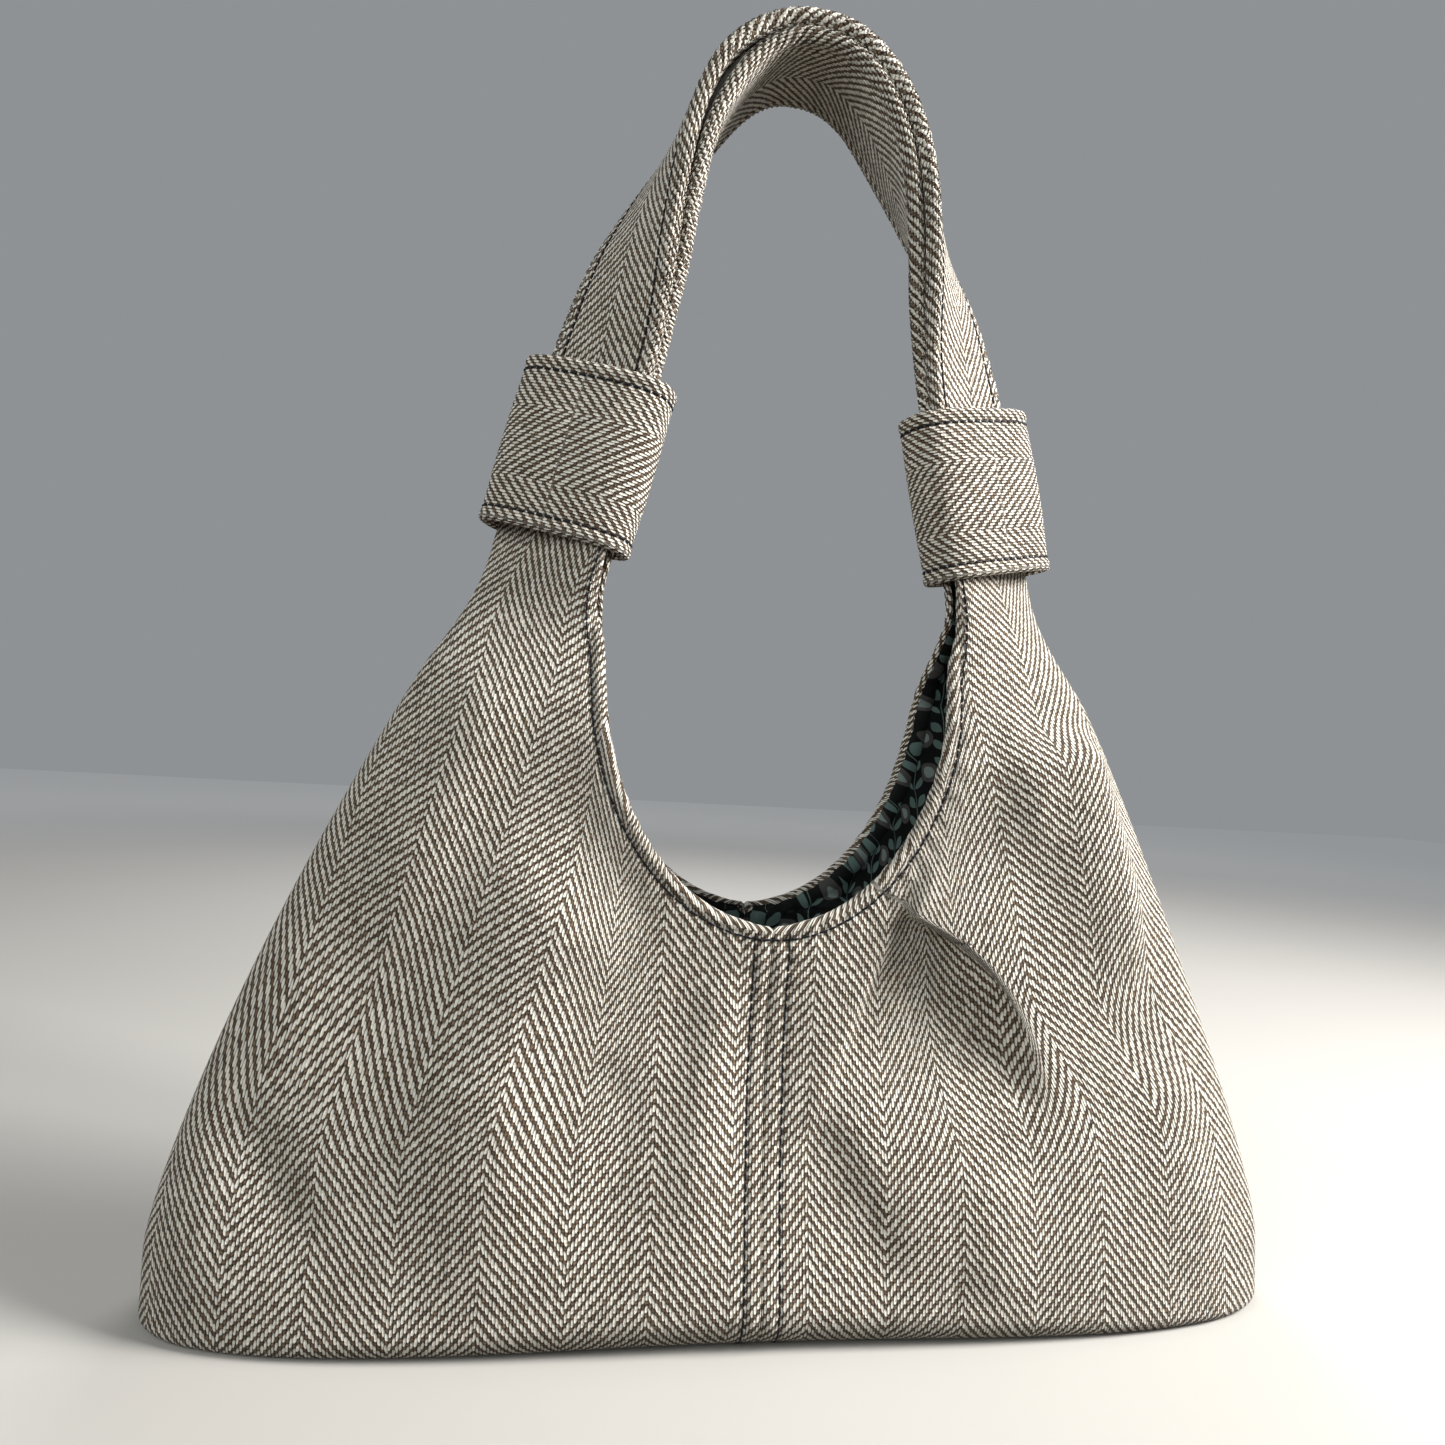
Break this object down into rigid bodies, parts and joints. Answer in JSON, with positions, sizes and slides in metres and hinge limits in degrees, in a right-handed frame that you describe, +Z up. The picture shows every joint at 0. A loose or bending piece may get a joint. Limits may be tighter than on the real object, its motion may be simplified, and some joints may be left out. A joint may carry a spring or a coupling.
{
  "type": "knitting bag",
  "caption": "Lined slouch bag in herringbone cloth with a deep U-shaped mouth, sliding cuffs on the necks and one padded shoulder strap, for carrying a knitting project.",
  "frame": {"origin": "middle of the base, on the plane the bag stands on", "axes": "+X to the bag's right-hand side seen from the front, +Y to the back, so the front faces -Y, +Z up"},
  "size_m": [0.3962, 0.0906, 0.4586],
  "materials": {
    "shell_cloth": "cream and taupe herringbone twill, coarse yarn, soft matt",
    "interlining": "white needle-punched interlining and strap wadding, matt",
    "lining_cloth": "plain-woven cotton, near-black with a grey-green leaf and dot print",
    "thread": "dark navy polyester topstitching thread"
  },
  "bodies": {
    "bag": {"front_left_panel": "shell_cloth", "front_right_panel": "shell_cloth", "back_left_panel": "shell_cloth", "back_right_panel": "shell_cloth", "front_left_interlining": "interlining", "front_right_interlining": "interlining", "back_left_interlining": "interlining", "back_right_interlining": "interlining", "front_left_lining": "lining_cloth", "front_right_lining": "lining_cloth", "back_left_lining": "lining_cloth", "back_right_lining": "lining_cloth", "slip_pocket": "lining_cloth", "pocket_stitching": "thread", "front_rim_stitching": "thread", "back_rim_stitching": "thread", "front_seam_stitching": "thread", "back_seam_stitching": "thread", "left_neck": "shell_cloth", "right_neck": "shell_cloth"},
    "handle": {"strap_outer_layer": "shell_cloth", "strap_inner_layer": "shell_cloth", "strap_core": "interlining", "strap_front_stitching": "thread", "strap_back_stitching": "thread"},
    "left_cuff": {"left_cuff": "shell_cloth", "left_cuff_stitching": "thread"},
    "right_cuff": {"right_cuff": "shell_cloth", "right_cuff_stitching": "thread"}
  },
  "joints": [
    {"name": "handle_fold", "type": "hinge", "parent": "bag", "child": "handle", "pos_m": [0, 0, 0.238], "axis": [1, 0, 0], "range_deg": [-110, 110], "stiffness_Nm_per_rad": 0.25, "deforming": ["left_neck", "right_neck"]},
    {"name": "left_cuff_slide", "type": "slide", "parent": "handle", "child": "left_cuff", "axis": [0.2238, 0, 0.9746], "range_m": [0, 0.014]},
    {"name": "right_cuff_slide", "type": "slide", "parent": "handle", "child": "right_cuff", "axis": [-0.2238, 0, 0.9746], "range_m": [0, 0.014]}
  ]
}
